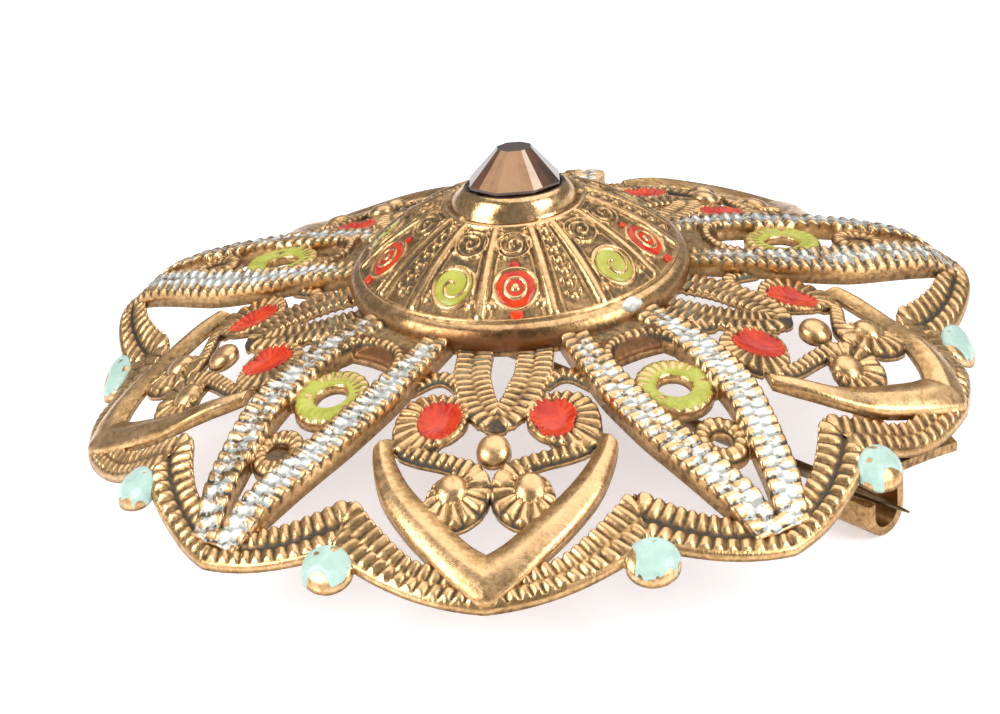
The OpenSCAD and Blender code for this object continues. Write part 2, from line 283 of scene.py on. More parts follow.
def cut_grid(shape, x_reach, y_from, y_to):
    """Covers the places where the shape's outline distance is negative with cells of a grid, cut
    off at the outline. Gives the points' x and y, the cells, and the edges along the outline."""
    nx = math.ceil(x_reach / PITCH)
    gx, gy = np.meshgrid(np.arange(-nx, nx + 1) * PITCH, np.arange(y_from, y_to + PITCH, PITCH))
    edge = shape(gx, gy).edge
    inside = edge < 0
    inside[0, :] = inside[-1, :] = inside[:, 0] = inside[:, -1] = False
    ids = {kind: np.full(edge.shape, -1) for kind in "nhv"}
    count = inside.sum()
    ids["n"][inside] = np.arange(count)
    px, py = [gx[inside]], [gy[inside]]
    for kind, a, b in (("h", np.s_[:, :-1], np.s_[:, 1:]), ("v", np.s_[:-1, :], np.s_[1:, :])):
        crossed = inside[a] != inside[b]
        ea, eb = edge[a][crossed], edge[b][crossed]
        t = np.clip(ea / (ea - eb), 0.04, 0.96)
        px.append(gx[a][crossed] * (1 - t) + gx[b][crossed] * t)
        py.append(gy[a][crossed] * (1 - t) + gy[b][crossed] * t)
        ids[kind][a][crossed] = count + np.arange(crossed.sum())
        count += crossed.sum()
    tops, walls = [], []
    for at, keys, cuts in walk_cells(inside):
        loops = np.stack([ids[kind][at[:, 0] + dj, at[:, 1] + di] for kind, dj, di in keys], 1)
        if len(keys) <= 4:
            tops.append(loops)
        else:
            tops += [loops[:, [0, n, n + 1]] for n in range(1, len(keys) - 1)]
        walls += [loops[:, [a, b]] for a, b in cuts]
    return np.concatenate(px), np.concatenate(py), tops, np.concatenate(walls)


def cut_sheet(shape, x_reach, y_from, y_to, film=False):
    """A closed sheet in the outline of a shape, where shape(x, y) gives a Relief. A film is only
    FILM thick, so that its bottom lies in the brass under it. Gives points, faces and marks."""
    x, y, tops, rim = cut_grid(shape, x_reach, y_from, y_to)
    count = len(x)
    r = shape(x, y)
    base = HUB_Z + dome_z(np.hypot(x, y))
    top = base + r.rise
    hollow = smooth(0.1, 0.9, -r.edge) * r.body
    bottom = np.minimum(base + hollow - 0.85 * SHEET, top - 0.6 * SHEET)
    if film:
        bottom = top - FILM
    on_rim = np.unique(rim)
    place = np.full(count, -1)
    place[on_rim] = 2 * count + np.arange(len(on_rim))
    points = np.concatenate([np.stack([x, y, top], 1), np.stack([x, y, bottom], 1),
                             np.stack([x, y, 0.72 * top + 0.28 * bottom], 1)[on_rim]])
    faces = tops + [f[:, ::-1] + count for f in tops]
    a, b = rim[:, 0], rim[:, 1]
    faces.append(np.stack([place[a], place[b], b, a], 1))
    faces.append(np.stack([a + count, b + count, place[b], place[a]], 1))
    marks = {}
    for name, value in r.marks.items():
        under, side = 0.0, 0.4 * value
        if name == "relief":
            under, side = BACK_SHADE, 0.62 + 0.12 * mottle(x, y, 2.2, 15)
        marks[name] = np.concatenate([value, np.full(count, under), side[on_rim]])
    return points, faces, marks


# ---- Meshes ----

# Each bend's turn, its height, how far out it goes, and the half width of its turn
BENT = ((108, 1.6, 1.3, 24), (91, -1.2, 0.0, 14), (76, 0.9, 0.0, 16), (53, 0.6, 0.4, 9),
        (-108, 1.5, 1.2, 24), (-89, -1.6, 0.3, 15), (-70, -0.6, 0.0, 20), (-52, 0.7, 0.6, 10))


def bent(points):
    """The brooch has been bent by hand. At some turns, over some width of turn, the plate's edge
    lies higher or lower, or further out, than the stamping left it."""
    p = points.copy()
    r = np.hypot(p[:, 0], p[:, 1])
    turn = np.degrees(np.arctan2(p[:, 0], -p[:, 1]))
    far = smooth(14.5, 29, r)
    for middle, up, out, width in BENT:
        near = np.abs((turn - middle + 180) % 360 - 180)
        part = far * np.cos(np.radians(np.clip(near / width, 0, 1) * 90)) ** 2
        p[:, 2] += up * part
        p[:, :2] += p[:, :2] * (out * part / np.maximum(r, 1))[:, None]
    return p


def turned(points, turn):
    """Points of a lobe's own frame, placed at its turn around the flower from -Y."""
    a = math.radians(180 + turn)
    c, s = math.cos(a), math.sin(a)
    return points @ np.array([[c, s, 0], [-s, c, 0], [0, 0, 1]])


def add_object(name, data):
    added = bpy.data.objects.new(name, data)
    bpy.context.scene.collection.objects.link(added)
    return added


def plain_marks(count, **given):
    """Every mark at each of so many points, 0 where it isn't given."""
    return {m: np.broadcast_to(given.get(m, 0.0), count) for m in MARKS}


def make_piece(name, points, faces, marks, material, slot, node):
    """A smooth-shaded mesh object that rides on the brooch and stands for a CAD node."""
    mesh = bpy.data.meshes.new(name)
    mesh.vertices.add(len(points))
    mesh.vertices.foreach_set("co", (points * MM).ravel())
    loops = np.concatenate([f.ravel() for f in faces])
    sizes = np.concatenate([np.full(len(f), f.shape[1]) for f in faces])
    starts = np.cumsum(sizes) - sizes
    mesh.loops.add(len(loops))
    mesh.loops.foreach_set("vertex_index", loops.astype(np.int32))
    mesh.polygons.add(len(sizes))
    mesh.polygons.foreach_set("loop_start", starts.astype(np.int32))
    mesh.update(calc_edges=True)
    mesh.shade_smooth()
    for mark, value in marks.items():
        layer = mesh.attributes.new(mark, "FLOAT", "POINT")
        layer.data.foreach_set("value", np.asarray(value, np.float32))
    mesh.materials.append(material)
    piece = add_object(name, mesh)
    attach(piece, "brooch")
    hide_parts(node)


# ---- Materials ----


class Shader:
    """A node material with one Principled shader, and short ways to add what drives it."""

    def __init__(self, name, **values):
        self.material = bpy.data.materials.new(name)
        self.material.use_nodes = True
        self.tree = self.material.node_tree
        self.main = self.tree.nodes["Principled BSDF"]
        for socket, value in values.items():
            self.main.inputs[socket.replace("_", " ")].default_value = value
        self.place = self.tree.nodes.new("ShaderNodeTexCoord").outputs["Object"]

    def link(self, value, socket):
        if hasattr(value, "is_output"):
            self.tree.links.new(value, socket)
        else:
            socket.default_value = value

    def set(self, name, value):
        self.link(value, self.main.inputs[name])

    def noise(self, size_mm, detail=3.0, rough=0.55, distortion=0.0):
        n = self.tree.nodes.new("ShaderNodeTexNoise")
        self.link(self.place, n.inputs["Vector"])
        for socket, number in (("Scale", 1 / (size_mm * MM)), ("Detail", detail),
                               ("Roughness", rough), ("Distortion", distortion)):
            n.inputs[socket].default_value = number
        return n.outputs["Fac"]

    def mark(self, name):
        n = self.tree.nodes.new("ShaderNodeAttribute")
        n.attribute_name = name
        return n.outputs["Fac"]

    def math(self, kind, a, b):
        n = self.tree.nodes.new("ShaderNodeMath")
        n.operation = kind
        self.link(a, n.inputs[0])
        self.link(b, n.inputs[1])
        return n.outputs["Value"]

    def add(self, a, b):
        return self.math("ADD", a, b)

    def times(self, a, b):
        return self.math("MULTIPLY", a, b)

    def shaken(self, value, noise, amount):
        return self.add(value, self.span(noise, 0.3, 0.7, -amount, amount))

    def span(self, value, low, high, to_low=0.0, to_high=1.0):
        n = self.tree.nodes.new("ShaderNodeMapRange")
        n.interpolation_type = "SMOOTHSTEP"
        self.link(value, n.inputs["Value"])
        for socket, number in zip(("From Min", "From Max", "To Min", "To Max"),
                                  (low, high, to_low, to_high)):
            n.inputs[socket].default_value = number
        return n.outputs["Result"]

    def blend(self, factor, a, b):
        n = self.tree.nodes.new("ShaderNodeMix")
        n.data_type = "RGBA"
        self.link(factor, n.inputs["Factor"])
        for value, socket in ((a, n.inputs[6]), (b, n.inputs[7])):
            self.link(value if hasattr(value, "is_output") else (*value, 1.0), socket)
        return n.outputs[2]

    def bump(self, height, strength, distance_mm):
        n = self.tree.nodes.new("ShaderNodeBump")
        n.inputs["Strength"].default_value = strength
        n.inputs["Distance"].default_value = distance_mm * MM
        self.link(height, n.inputs["Height"])
        self.set("Normal", n.outputs["Normal"])


BRIGHT_BRASS = (0.79, 0.505, 0.25)
WORN_BRASS = (0.50, 0.30, 0.125)
DARK_BRASS = (0.22, 0.13, 0.058)
GRIME = (0.088, 0.080, 0.066)
VERDIGRIS = (0.25, 0.26, 0.18)
GREY_PAINT = (0.47, 0.48, 0.44)
SILVER_PAINT = (0.86, 0.87, 0.84)
# The stain colour, also used as painted shade on the boss wall.
STAIN_AND_SHADE_BROWN = (0.20, 0.085, 0.035)


def brass(name, shine=0.5, marked=True, dark=0.0):
    """Antiqued brass: bright on worn crests, brown and grimy in the grooves."""
    m = Shader(name, Metallic=1.0, Roughness=0.3)
    cloud = m.noise(3.5, 4.0, 0.6, 0.4)
    grain = m.noise(0.35, 4.0, 0.65)
    fleck = m.noise(0.9, 5.0, 0.7, 0.6)
    high = m.mark("relief") if marked else m.span(cloud, 0.2, 0.8, 0.45, 0.9)
    worn = m.shaken(high, grain, 0.16)
    worn = m.add(worn, m.span(cloud, 0.3, 0.7, -0.12 - dark, 0.1 - dark))
    colour = m.blend(m.span(worn, 0.02, 0.42), GRIME, DARK_BRASS)
    colour = m.blend(m.span(worn, 0.25, 0.68), colour, WORN_BRASS)
    colour = m.blend(m.span(worn, 0.62, 0.98), colour, BRIGHT_BRASS)
    spots = m.times(m.span(fleck, 0.58, 0.7), 0.35)
    colour = m.blend(spots, colour, DARK_BRASS)
    dull = m.span(worn, 0.1, 0.8, 0.62, 0.42 - 0.28 * shine)
    dull = m.add(dull, m.span(fleck, 0.4, 0.7, -0.04, 0.16))
    if marked:
        crust = m.times(m.mark("green"), m.span(fleck, 0.42, 0.56))
        crust = m.times(crust, m.span(high, 0.75, 0.2))
        colour = m.blend(crust, colour, VERDIGRIS)
        # The stain mark carries real stain and, on the boss wall's front, painted shade.
        colour = m.blend(m.mark("stain"), colour, STAIN_AND_SHADE_BROWN)
        silver = m.mark("silver")
        paint = m.shaken(m.shaken(silver, grain, 0.2), fleck, 0.25)
        flake = m.times(m.span(paint, 0.42, 0.56), m.span(silver, 0.02, 0.2))
        worn_paint = m.blend(m.span(worn, 0.3, 0.95), GREY_PAINT, SILVER_PAINT)
        colour = m.blend(flake, colour, worn_paint)
        dull = m.add(dull, m.times(flake, 0.06))
        skin = m.add(m.times(crust, 0.9), m.times(flake, 0.1))
        m.set("Metallic", m.math("SUBTRACT", 1.0, skin))
        dull = m.add(dull, m.times(crust, 0.3))
    m.set("Base Color", colour)
    m.set("Roughness", dull)
    rough = m.add(m.times(grain, 0.7), fleck)
    m.bump(m.add(rough, m.times(m.noise(0.13, 2.0, 0.6), 0.3)), 0.3, 0.06)
    return m.material


def enamel(name, colour, deep, pale, rough=0.16):
    """Brush-laid enamel: uneven in depth, with pale scuffs and a wet coat."""
    m = Shader(name, Roughness=rough, Coat_Weight=0.25, Coat_Roughness=0.06)
    m.set("Specular IOR Level", 0.3)
    cloud = m.noise(1.3, 3.0, 0.6, 0.5)
    scuff = m.noise(0.45, 5.0, 0.7, 1.2)
    tint = m.blend(m.span(cloud, 0.35, 0.65), deep, colour)
    tint = m.blend(m.times(m.span(scuff, 0.56, 0.72), 0.4), tint, pale)
    m.set("Base Color", tint)
    m.set("Roughness", m.span(scuff, 0.4, 0.7, rough, rough + 0.25))
    m.bump(m.add(cloud, m.times(scuff, 0.4)), 0.3, 0.08)
    return m.material


PLATE_BRASS = brass("stamped_brass", shine=0.45)
BOSS_BRASS = brass("boss_brass", shine=0.6)
CUP_BRASS = brass("cup_brass", shine=0.9)
RED = enamel("red_enamel", (0.64, 0.045, 0.004), (0.42, 0.014, 0.003), (0.62, 0.14, 0.07))
GREEN = enamel("green_enamel", (0.46, 0.47, 0.075), (0.37, 0.37, 0.045), (0.60, 0.62, 0.26), 0.25)
AQUA = enamel("aqua_enamel", (0.45, 0.62, 0.55), (0.38, 0.54, 0.47), (0.60, 0.72, 0.65), 0.22)

# ---- The plate's pattern ----


def at_turn(radius, turn):
    """A place in a lobe's own frame, at a turn from its middle."""
    return radius * np.array([math.sin(math.radians(turn)), math.cos(math.radians(turn))])


NOTCH_TURN = 19.9
RIM_W = 2.9 * K
INNER_ROW = 0.57
RIM_TIP = (0, FLOWER_D / 2 - RIM_W / 2)
NOTCH_R = 25.35 * K
DROP_AT = at_turn(27.75 * K, 19.55)
DROP_HALF = (1.6 * K, 1.12 * K)
DOT = (3.4 * K, 17.25 * K)
DOT_R = 1.36 * K
RING = (0, 17.6 * K)
RING_IN, RING_OUT = 1.02 * K, 2.36 * K
RING_TOOTH = 360 / 22
SMALL_RING = (0, 22.4 * K)
SMALL_IN, SMALL_OUT = 0.66 * K, 1.62 * K
SMALL_TOOTH = 360 / 15
FLUTE = 20
HUB_EDGE = 12.6 * K


def curve(*points):
    """A smooth curve through (x, y, half width) points, at the flower's size."""
    return through(np.array(points) * K)


V_BAND = curve(
    (6.85, 17.6, 0.5), (6.68, 18.9, 0.56), (6.33, 20.6, 0.72), (5.48, 22.6, 0.92),
    (4.08, 24.5, 1.02), (2.65, 25.95, 1.08), (1.4, 27.1, 1.16), (0, 28.0, 1.28))
ROOT = curve(
    (1.85, 10.5, 1.12), (1.85, 13, 1.14), (1.55, 14.6, 1.14), (1.15, 15.9, 1.08), (0.6, 16.9, 1.0),
    (0, 17.4, 0.95))
ROOT_LINK = curve((2.4, 14.1, 0.45), (3.3, 13.1, 0.45), (4.3, 13.0, 0.45), (5.6, 13.9, 0.45))
STEM = curve(
    (5.3, 19.4, 0.45), (4.3, 19.9, 0.46), (3.1, 20.3, 0.48), (2.1, 20.7, 0.5), (1.2, 21.15, 0.55),
    (0.7, 21.8, 0.6))
DOT_SCROLL = ((-140, 2.05), (-85, 2.3), (-50, 2.7), (0, 2.78), (20, 3.0), (35, 3.3), (50, 3.1),
              (75, 2.25), (100, 1.8), (140, 1.64), (180, 1.66), (200, 1.8))
BALL = (2.3 * K, 22.55 * K)
BALL_SCROLL = ((0, 1.3), (25, 1.75), (50, 2.3), (70, 2.25), (95, 2.35), (127, 2.38), (163, 2.36),
               (199, 2.36), (234, 2.1), (262, 1.3), (300, 1.05))
CENTRE_BALL = (0, 19.8 * K)
KITE_BAND = curve(
    (2.4, 9.8, 0.85), (2.95, 12.6, 0.92), (3.15, 14.6, 1.02), (3.32, 17, 1.12), (3.14, 20, 1.12),
    (2.72, 22, 1.12), (2.12, 24.2, 1.12), (1.6, 26, 1.08), (1.05, 27.5, 1.02), (0.8, 28.6, 0.95))
KITE_END = 28.35
KITE_ARCH = curve((2.3, 14.3, 0.28), (1.85, 13.4, 0.28), (1.05, 12.9, 0.28), (0, 12.7, 0.28))


def bowl(r, angle, size):
    """The fluted hollow that holds a dot of enamel."""
    u = np.clip(r / size, 0, 1.15)
    flute = 0.14 * smooth(0.45, 1.0, u) * (ribs(angle, FLUTE) - 0.5)
    return -0.42 + 0.34 * u ** 2.2 + flute


def dot_place(r):
    """Distance from a dot's centre, scaled so that the dot's oval edge lies at DOT_R."""
    return np.hypot((r.mirror - DOT[0]) / 0.95, (r.y - DOT[1]) / 1.18) + 1e-6


def heart_shape(x, y):
    """A heart lobe: root, links, dot scrolls, balls and the smooth band around them."""
    r = Relief(x, y)
    r.rope(ROOT, 0.55, 0.12, 0.24, body=0.05, green=smooth(15, 12, y / K))
    r.rope(ROOT_LINK, 0.5, 0.0, 0.2, rows=1, green=0.5)
    r.rope(STEM, 0.55, 0.08, 0.26, rows=1, green=0.1)
    d = dot_place(r)
    inner = DOT_R * r.around(DOT)[0] / d
    angle, edge, height, lift = r.scroll(DOT, inner, DOT_SCROLL, 22, 0.12, 0.26)
    hollow = d < DOT_R
    floor = bowl(d, angle, DOT_R)
    r.add(edge, np.where(hollow, np.minimum(floor, height), height),
          relief=np.where(hollow, 0.25, lift), green=0.15 * smooth(0.7, 0.2, lift))
    _, edge, height, lift = r.scroll(BALL, 0.9 * K, BALL_SCROLL, 15, 0.1, 0.3, spin=8)
    r.add(edge, height, relief=lift)
    r.ball(BALL, 0.98 * K, 0.45)
    r.ball(CENTRE_BALL, 1.03 * K, 0.5)
    _, side, far, half = along(V_BAND, r.mirror, y)
    edge = np.maximum(far - half, 18.45 * K + 0.8 * (r.mirror - 6.3 * K) - y)
    u = np.clip(side / half, -1, 1)
    inner = np.maximum((0.16 - u) / 1.16, 0) ** 1.2
    outer = np.maximum((u - 0.16) / 0.84, 0) ** 1.7
    grow = smooth(0, 1.0, half)
    tilt = (0.62 * (1 - inner) - 0.3 * outer) * grow
    worn = 0.95 - 0.4 * smooth(0.1, -0.75, u) - 0.2 * smooth(0.6, 1, u)
    r.add(edge, tilt + 0.02 * mottle(x, y, 2.5, 9) - roundover(edge, 0.14), 0.25,
          relief=worn, green=smooth(-0.7, -0.98, u) * smooth(26.5, 24, y / K))
    return r


def rim_shape(x, y, control, notch_turn, trims, lugs):
    """A piece of rim from a notch to a lobe's middle. The trims are what its inner edge loses from
    the rim's full width, at the notch and further along."""
    r = Relief(x, y)
    notch = at_turn(NOTCH_R, notch_turn)
    middle = bezier(notch, np.array(control) * K, RIM_TIP)
    beyond = notch + 2.2 * K * (notch - middle[1]) / np.linalg.norm(notch - middle[1])
    spine = np.vstack([beyond, middle])
    slim = np.interp(np.linalg.norm(spine - notch, axis=1) / K, (0, 3.2, 5), trims) * K
    spine += spine / np.linalg.norm(spine, axis=1)[:, None] * slim[:, None] / 2
    spine = np.column_stack([spine, (RIM_W - slim) / 2])
    s, side, far, half = along(spine, r.mirror, y)
    past = (r.mirror * notch[1] - y * notch[0]) / NOTCH_R
    edge = np.maximum(far - half, past)
    t = side if np.mean(side[y > RIM_TIP[1]]) > 0 else -side
    ribbed = 0.9
    u = (t / half + 1) / (2 * ribbed)
    place = s + 0.27 * t + 0.05 * mottle(x, y, 2.0, 4)
    lift = meshed_ribs(place, 0.73, np.clip(u, 0, 1), INNER_ROW, 0.07 if lugs else -0.03, 0.85)
    lift = lift * (1 + 0.14 * mottle(x, y, 1.3, 3))
    flange = smooth(0.98, 1.0, u)
    height = 0.32 * lift - 0.22
    bead = 0.12 * arch((t / half - ribbed) / 0.13) - 0.16
    height = height * (1 - flange) + bead * flange - roundover(far - half, ROUND)
    height -= 0.1 * smooth(-0.25, 0, past)
    shade = 1.15 * lift ** 1.2 * (1 - flange) + 0.72 * flange
    r.add(edge, height, relief=np.clip(shade, 0, 1))
    if lugs:
        out, aside, e = drop_frame(r)
        edge = (e - 1) * min(DROP_HALF)
        r.add(edge, lug_top(e), relief=0.8, green=0.7 * smooth(-0.2, -1.0, out))
        neck = np.hypot(out + 0.9 * K, aside) - 1.15 * K
        r.add(neck, -0.18, relief=0.35, green=0.9)
    return r


def drop_frame(r):
    """Distance outwards and sideways from the drop's centre, and a third value that runs from 0
    there to 1 at its oval edge."""
    way = DROP_AT / np.linalg.norm(DROP_AT)
    dx, dy = r.mirror - DROP_AT[0], r.y - DROP_AT[1]
    out, aside = dx * way[0] + dy * way[1], dx * way[1] - dy * way[0]
    return out, aside, np.hypot(out / DROP_HALF[1], aside / DROP_HALF[0])


def lug_top(e):
    """Height of a lug's domed top, where e runs from 0 in its middle to 1 at its edge."""
    return 0.72 * arch(e, 2.4) - 0.35


def ring_top(d, angle):
    """The kite ring's rounded, toothed top."""
    u = np.clip((d - RING_IN) / (RING_OUT - RING_IN), 0, 1)
    tooth = ribs(angle, RING_TOOTH) * smooth(0.35, 0.75, u)
    return 0.08 + 0.3 * arch(2 * u - 1) + 0.1 * tooth


def kite_shape(x, y):
    """A kite lobe: two high bands with silver paint, two rings between them, and its root."""
    r = Relief(x, y)
    sink = 0.72 * smooth(26.0, 28.2, y / K)
    edge = r.rope(KITE_BAND, 0.7, 0.95 - sink, 0.26, lean=0.75, body=0.8 - sink)
    grooves = smooth(0.95, 0.35, r.marks["relief"]) * smooth(0.02, -0.25, edge)
    crests = np.where(x > 0, 0.38, 0.5) * smooth(-0.1, -0.7, edge)
    paint = smooth(10, 13, y / K) * (0.08 + np.maximum(0.42 * grooves, crests + 0.14 * grooves))
    r.marks["silver"] = np.where(edge < 0.05, paint, 0.0)
    r.marks["green"] = np.where(edge < 0.05, 0.6 * smooth(14.5, 12, y / K), 0.0)
    r.edge = np.maximum(edge, y - KITE_END * K)
    d, angle = r.around(RING)
    r.add(np.maximum(d - RING_OUT, RING_IN - d), ring_top(d, angle), 0.2,
          relief=0.5 + 0.5 * ribs(angle, RING_TOOTH))
    r.bar(RING[1] + 0.3, 1.2 * K, 2.6 * K, RING_OUT - 0.15 - d, 0.12, 0.1, 0.2)
    d, angle = r.around(SMALL_RING)
    crown = arch(2 * np.clip((d - SMALL_IN) / (SMALL_OUT - SMALL_IN), 0, 1) - 1)
    wave = ribs(angle, SMALL_TOOTH) * crown
    r.add(np.maximum(d - SMALL_OUT, SMALL_IN - d), 0.12 + 0.22 * crown + 0.16 * wave, 0.2,
          relief=np.clip(wave + 0.1, 0, 1))
    r.bar(SMALL_RING[1], 0.8 * K, 2.4 * K, SMALL_OUT - 0.3 - d, 0.2, 0.2, 0.3)
    apron = np.maximum(y - (13.75 + 0.04 * r.mirror ** 2) * K, r.mirror - 2.6 * K)
    apron = np.maximum(apron, HUB_EDGE - y)
    r.add(apron, 0.75 - 0.6 * (y / K - 12.9) - roundover(apron, 0.12), 0.3, relief=0.3, stain=0.75)
    r.rope(KITE_ARCH, 0.45, 0.98, 0.2, rows=1, body=0.5)
    under = np.maximum(y - HUB_EDGE, r.mirror - 3.3 * K)
    r.add(np.maximum(under, 9.8 * K - y), 0.55, 0.2, relief=0.4, green=0.3)
    return r


# ---- Enamel films on the plate ----


def dot_film(x, y):
    r = Relief(x, y)
    _, angle = r.around(DOT)
    d = dot_place(r)
    edge = d - 1.02 * DOT_R - 0.12 * (ribs(angle, FLUTE) - 0.6) + 0.1 * mottle(x, y, 0.8, 21)
    r.add(edge, bowl(d, angle, DOT_R) + 0.1 - roundover(edge, 0.1))
    return r


def ring_film(x, y):
    r = Relief(x, y)
    d, angle = r.around(RING)
    edge = np.maximum(d - RING_OUT * 0.965, RING_IN * 1.04 - d)
    edge = edge + 0.06 * mottle(x, y, 0.9, 31)
    back = smooth(1.0, 1.6, d / K) - smooth(-1.4, 0.4, y - RING[1])
    rim = 0.75 * smooth(1.9, 2.3, d / K)
    chips = (ribs(angle, RING_TOOTH) * np.maximum(back, rim) - 0.55) * 0.5
    holes = (mottle(x, y, 0.75, 37) - 0.98) * 0.5
    edge = np.maximum(edge, np.maximum(chips, holes))
    r.add(edge, ring_top(d, angle) + 0.07 - roundover(edge, 0.08))
    return r


def drop_film(x, y):
    r = Relief(x, y)
    out, aside, e = drop_frame(r)
    edge = (e - 0.99) * min(DROP_HALF) + 0.05 * mottle(x, y, 0.7, 43)
    chipped = out / K - np.where(x > 0, 0.92, 1.0)
    chipped = np.maximum(chipped, np.where(x > 0, -9, -1.15 - aside / K))
    chipped = chipped + 0.22 * mottle(x, y, 0.9, 47)
    holes = (mottle(x, y, 0.6, 53) - 1.05) * 0.4
    edge = np.maximum(edge, np.maximum(chipped * 0.6, holes))
    r.add(edge, lug_top(e) + 0.09 - roundover(edge, 0.08))
    return r


# ---- Building the plate ----


def heart_rim_shape(x, y):
    return rim_shape(x, y, (4.9, 27.5), NOTCH_TURN, (0, 0.7, 1.2), True)


def kite_rim_shape(x, y):
    return rim_shape(x, y, (3.9, 27.4), KITE_TURN - NOTCH_TURN, (0, 0.65, 0.8), False)


def lay_round(label, sheet, turn, material, slot, node):
    """The same sheet in each of the flower's five sectors, from the given turn on."""
    points, faces, marks = sheet
    for i in range(LOBES):
        make_piece(f"{label}_{i + 1}", bent(turned(points, turn + i * LOBE_STEP)), faces, marks,
                   material, slot, node)


PLATE = (PLATE_BRASS, "antique_brass", "filigree_plate")
lay_round("heart_lobe", cut_sheet(heart_shape, 8.2 * K, 10.4 * K, 30 * K), 0, *PLATE)
lay_round("heart_rim", cut_sheet(heart_rim_shape, 12 * K, 21 * K, 30 * K), 0, *PLATE)
lay_round("kite_lobe", cut_sheet(kite_shape, 5.2 * K, 9.6 * K, 29 * K), KITE_TURN, *PLATE)
lay_round("kite_rim", cut_sheet(kite_rim_shape, 9.5 * K, 21 * K, 30 * K), KITE_TURN, *PLATE)
lay_round("red_dots", cut_sheet(dot_film, 5.4 * K, 15.5 * K, 19.5 * K, film=True), 0,
          RED, "red_enamel", "heart_enamel")
lay_round("green_ring", cut_sheet(ring_film, 2.6 * K, 15 * K, 20.2 * K, film=True), KITE_TURN,
          GREEN, "green_enamel", "ring_enamel")
lay_round("aqua_drops", cut_sheet(drop_film, 11.2 * K, 24 * K, 28.5 * K, film=True), 0,
          AQUA, "aqua_enamel", "drop_enamel")

# ---- Turned parts ----

AROUND = 144


def circle(count):
    """Evenly spaced turns in radians."""
    return np.arange(count) * 2 * math.pi / count


def spin_points(r, z, turn):
    """Points at radii r, heights z and turns in radians about the flower's axis."""
    return np.stack([r * np.sin(turn), -r * np.cos(turn), z + 0 * turn], -1).reshape(-1, 3)


def spun(profile, around):
    """Points of a closed profile of (radius, height) spun about the flower's axis."""
    p = np.array(profile, float)
    return spin_points(p[:, :1], p[:, 1:], circle(around))


def spun_faces(rows, around):
    """Faces of a closed ring of rows, each of the given number of points."""
    j, i = np.meshgrid(np.arange(rows), np.arange(around), indexing="ij")
    nj, ni = (j + 1) % rows, (i + 1) % around
    return [np.stack([j * around + i, j * around + ni, nj * around + ni, nj * around + i],
                     -1).reshape(-1, 4)]


def capped_faces(rings, around):
    """Faces of a closed skin: a first point, some rings of points around it, and a last point."""
    n = np.arange(around)
    m = (n + 1) % around
    tip = 1 + rings * around
    fans = [np.stack([0 * n, 1 + n, 1 + m], 1),
            np.stack([0 * n + tip, tip - around + m, tip - around + n], 1)]
    starts = 1 + around * np.arange(rings)
    return fans + [np.stack([a + n, b + n, b + m, a + m], 1) for a, b in zip(starts[:-1], starts[1:])]


def build_hub():
    """The plate's middle, under the boss, down to the washer."""
    top, foot = HUB_Z - 0.02, washer_high[2]
    profile = [(10.45, HUB_Z - 0.56), (10.6, HUB_Z - 0.48), (10.62, HUB_Z - 0.1), (10.5, top),
               (2, top), (1.5, top - 0.04), (1.45, top - 0.15), (1.45, foot + 0.1),
               (1.5, foot + 0.02), (1.7, foot), (4.5, foot), (5.2, foot + 0.06),
               (9.6, HUB_Z - 0.58)]
    points = spun(profile, AROUND)
    make_piece("plate_hub", points, spun_faces(len(profile), AROUND),
               plain_marks(len(points), relief=BACK_SHADE), *PLATE)


build_hub()

# ---- Boss ----

BOSS_H = boss_high[2] - boss_low[2] - 0.22
PANEL_R = BOSS_R - 0.75
SEAT_R = 4.2
RIB_TURNS = (-35.6, -8.8, 18.0)
GREEN_TURN, RED_TURN, LEAF_TURN = -22.2, 4.6, 27.2
SPIRAL_AT = 8.55
SMALL_SPIRAL_AT = 5.85
SCROLL_R = 1.36
LEAF_STEP = 0.86
PANEL_LINE = ((PANEL_R, 1.62), (8.3, 3.3), (6.2, 4.58), (SEAT_R, BOSS_H))
PANEL_SLOPE = 1.17  # length along the panel for each unit of radius
FILM_RINGS, FILM_AROUND = 14, 60
FILM_DEPTH = 0.05
OUT_R, OUT_Z = 0.5, 0.86  # the way out from the panel


def boss_profile():
    """The boss's section, and how many of its rows are wall and how many are panel."""
    wall_steps, panel_steps = ((6, 28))
    wall = through([(BOSS_R - 0.6, 0.02), (BOSS_R - 0.22, 0.05), (BOSS_R - 0.04, 0.45),
                    (BOSS_R - 0.1, 0.95), (BOSS_R - 0.34, 1.36), PANEL_LINE[0]], wall_steps)
    panel = through(PANEL_LINE, panel_steps)
    crown = through([(SEAT_R, BOSS_H), (3.6, BOSS_H + 0.02), (2.9, BOSS_H + 0.02)], 3)
    inside = [(2.75, BOSS_H - 0.4), (SEAT_R, BOSS_H - 0.55), (6.2, 3.9), (8.3, 2.65),
              (PANEL_R - 0.5, 1.15), (BOSS_R - 0.75, 0.5)]
    return np.vstack([wall[:-1], panel[:-1], crown, inside]), len(wall) - 1, len(panel) - 1


def spiral(u, v, radius, turns, sense):
    """How close points are to a spiral's line, and their distance from its centre."""
    d = np.hypot(u, v)
    a = (sense * np.arctan2(v, u) / (2 * math.pi)) % 1.0
    pitch = radius / turns
    gap = np.abs((d / pitch - a + 0.5) % 1.0 - 0.5) * pitch
    return np.where(d < radius * 1.04, gap, 9.0), d


